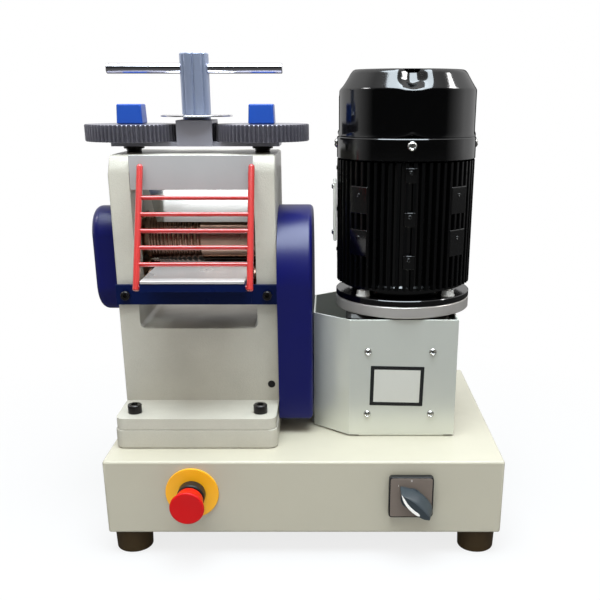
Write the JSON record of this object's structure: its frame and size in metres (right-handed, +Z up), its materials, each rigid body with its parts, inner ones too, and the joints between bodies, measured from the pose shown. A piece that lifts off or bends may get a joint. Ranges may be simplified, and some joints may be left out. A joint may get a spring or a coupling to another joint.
{
  "type": "jewellers rolling mill",
  "caption": "Electric bench rolling mill: cast frame with a grooved and a flat pair of rolls, tee handle over spur gears, vertical motor on a gearbox, swing guard, sheet cabinet on rubber feet.",
  "frame": {"origin": "on the bench under the middle of the whole mill", "axes": "+Z up, -Y to the front where the sheet is fed in, +X to the operator's right"},
  "size_m": [0.4789, 0.3994, 0.5463],
  "materials": {
    "grey_white_paint": "textured grey-white paint on cast iron",
    "crown_grey": "smooth grey paint",
    "blue_paint": "satin blue paint",
    "navy_paint": "gloss navy paint",
    "cap_blue": "matte blue plastic",
    "red_paint": "gloss red coating on steel rod",
    "button_red": "satin red plastic",
    "legend_yellow": "matte yellow plastic",
    "black_plastic": "satin black plastic",
    "rubber": "moulded black rubber",
    "switch_face": "metallic taupe face",
    "black_steel": "black oxide",
    "gear_steel": "dark cut steel",
    "roll_steel": "hardened ground steel, oiled",
    "bright_steel": "polished steel",
    "block_steel": "milled steel",
    "chrome": "chromed",
    "bronze": "cast bronze",
    "silver_sheet": "silver painted sheet steel",
    "aluminium_casting": "machined casting",
    "motor_black": "gloss black paint on aluminium"
  },
  "bodies": {
    "root": {"base_cabinet": "grey_white_paint", "base_bottom_plate": "silver_sheet", "foot_front_left": "rubber", "foot_front_right": "rubber", "foot_rear_left": "rubber", "foot_rear_right": "rubber", "contactor_block": "black_plastic", "cable_gland": "black_plastic", "estop_legend_ring": "legend_yellow", "estop_collar": "black_plastic", "switch_plate": "switch_face", "pedestal": "grey_white_paint", "mill_frame": "grey_white_paint", "foot_bolt_front_left": "black_steel", "foot_bolt_front_right": "black_steel", "foot_bolt_rear_left": "black_steel", "foot_bolt_rear_right": "black_steel", "crown_plate": "crown_grey", "lower_bearing_block_left": "bronze", "lower_bearing_block_right": "bronze", "lift_spring_left": "bright_steel", "lift_spring_right": "bright_steel", "guard_crossbar": "blue_paint", "feed_table": "bright_steel", "stripper_plate": "bright_steel", "left_cover": "navy_paint", "right_cover": "navy_paint", "gearbox_housing": "aluminium_casting", "gearbox_end_cap": "aluminium_casting", "gearbox_cabinet": "silver_sheet", "adapter_plate": "aluminium_casting", "motor_flange": "motor_black", "motor_body": "motor_black", "fan_cowl": "motor_black", "terminal_cover": "motor_black"},
    "lower_roll": {"lower_roll": "roll_steel", "lower_roll_gear": "gear_steel", "main_gear": "gear_steel"},
    "upper_roll": {"upper_roll": "roll_steel", "upper_roll_gear": "gear_steel"},
    "output_shaft": {"output_shaft": "bright_steel", "drive_pinion": "gear_steel"},
    "motor_rotor": {"motor_rotor": "bright_steel", "fan": "black_plastic"},
    "bridge": {"bridge_plate": "block_steel", "pinion_block": "block_steel", "upper_bearing_block_left": "bronze", "upper_bearing_block_right": "bronze"},
    "handle": {"spindle": "chrome", "dial_disc": "bright_steel", "tee_bar": "chrome"},
    "left_screw": {"pressure_screw_left": "black_steel", "screw_gear_left": "gear_steel", "screw_cap_left": "cap_blue"},
    "right_screw": {"pressure_screw_right": "black_steel", "screw_gear_right": "gear_steel", "screw_cap_right": "cap_blue"},
    "guard": {"guard": "red_paint"},
    "stop_button": {"estop_button": "button_red"},
    "switch_knob": {"switch_knob": "black_plastic"}
  },
  "joints": [
    {"name": "motor_turn", "type": "hinge", "parent": "root", "child": "motor_rotor", "pos_m": [0.13149, -0.0066, 0.35], "axis": [0, 0, 1], "continuous": true},
    {"name": "output_turn", "type": "hinge", "parent": "root", "child": "output_shaft", "pos_m": [0.06, 0.0284, 0.18312], "axis": [1, 0, 0], "continuous": true},
    {"name": "lower_roll_turn", "type": "hinge", "parent": "root", "child": "lower_roll", "pos_m": [-0.11001, 0.0084, 0.2862], "axis": [1, 0, 0], "continuous": true},
    {"name": "bridge_lift", "type": "slide", "parent": "root", "child": "bridge", "axis": [0, 0, 1], "range_m": [0, 0.003], "deforming": ["lift_spring_left", "lift_spring_right"]},
    {"name": "upper_roll_turn", "type": "hinge", "parent": "bridge", "child": "upper_roll", "pos_m": [-0.11001, 0.0084, 0.3418], "axis": [1, 0, 0], "continuous": true},
    {"name": "handle_turn", "type": "hinge", "parent": "bridge", "child": "handle", "pos_m": [-0.11001, 0.0084, 0.46], "axis": [0, 0, 1], "range_deg": [0, 1272.86]},
    {"name": "left_screw_turn", "type": "hinge", "parent": "bridge", "child": "left_screw", "pos_m": [-0.18521, 0.0084, 0.46], "axis": [0, 0, 1], "range_deg": [-540, 0]},
    {"name": "right_screw_turn", "type": "hinge", "parent": "bridge", "child": "right_screw", "pos_m": [-0.03481, 0.0084, 0.46], "axis": [0, 0, 1], "range_deg": [-540, 0]},
    {"name": "guard_swing", "type": "hinge", "parent": "root", "child": "guard", "pos_m": [-0.10401, -0.1216, 0.30595], "axis": [1, 0, 0], "range_deg": [0, 115]},
    {"name": "stop_press", "type": "slide", "parent": "root", "child": "stop_button", "axis": [0, 1, 0], "range_m": [0, 0.004], "stiffness_N_per_m": 400},
    {"name": "switch_turn", "type": "hinge", "parent": "root", "child": "switch_knob", "pos_m": [0.13499, -0.175, 0.0765], "axis": [0, 1, 0], "range_deg": [0, 90]}
  ],
  "couplings": [
    {"joint": "output_turn", "follows": "motor_turn", "ratio": 0.05},
    {"joint": "lower_roll_turn", "follows": "motor_turn", "ratio": -0.025},
    {"joint": "upper_roll_turn", "follows": "motor_turn", "ratio": 0.025},
    {"joint": "handle_turn", "follows": "bridge_lift", "rad_per_m": 7405.2},
    {"joint": "left_screw_turn", "follows": "bridge_lift", "rad_per_m": -3141.6},
    {"joint": "right_screw_turn", "follows": "bridge_lift", "rad_per_m": -3141.6}
  ]
}
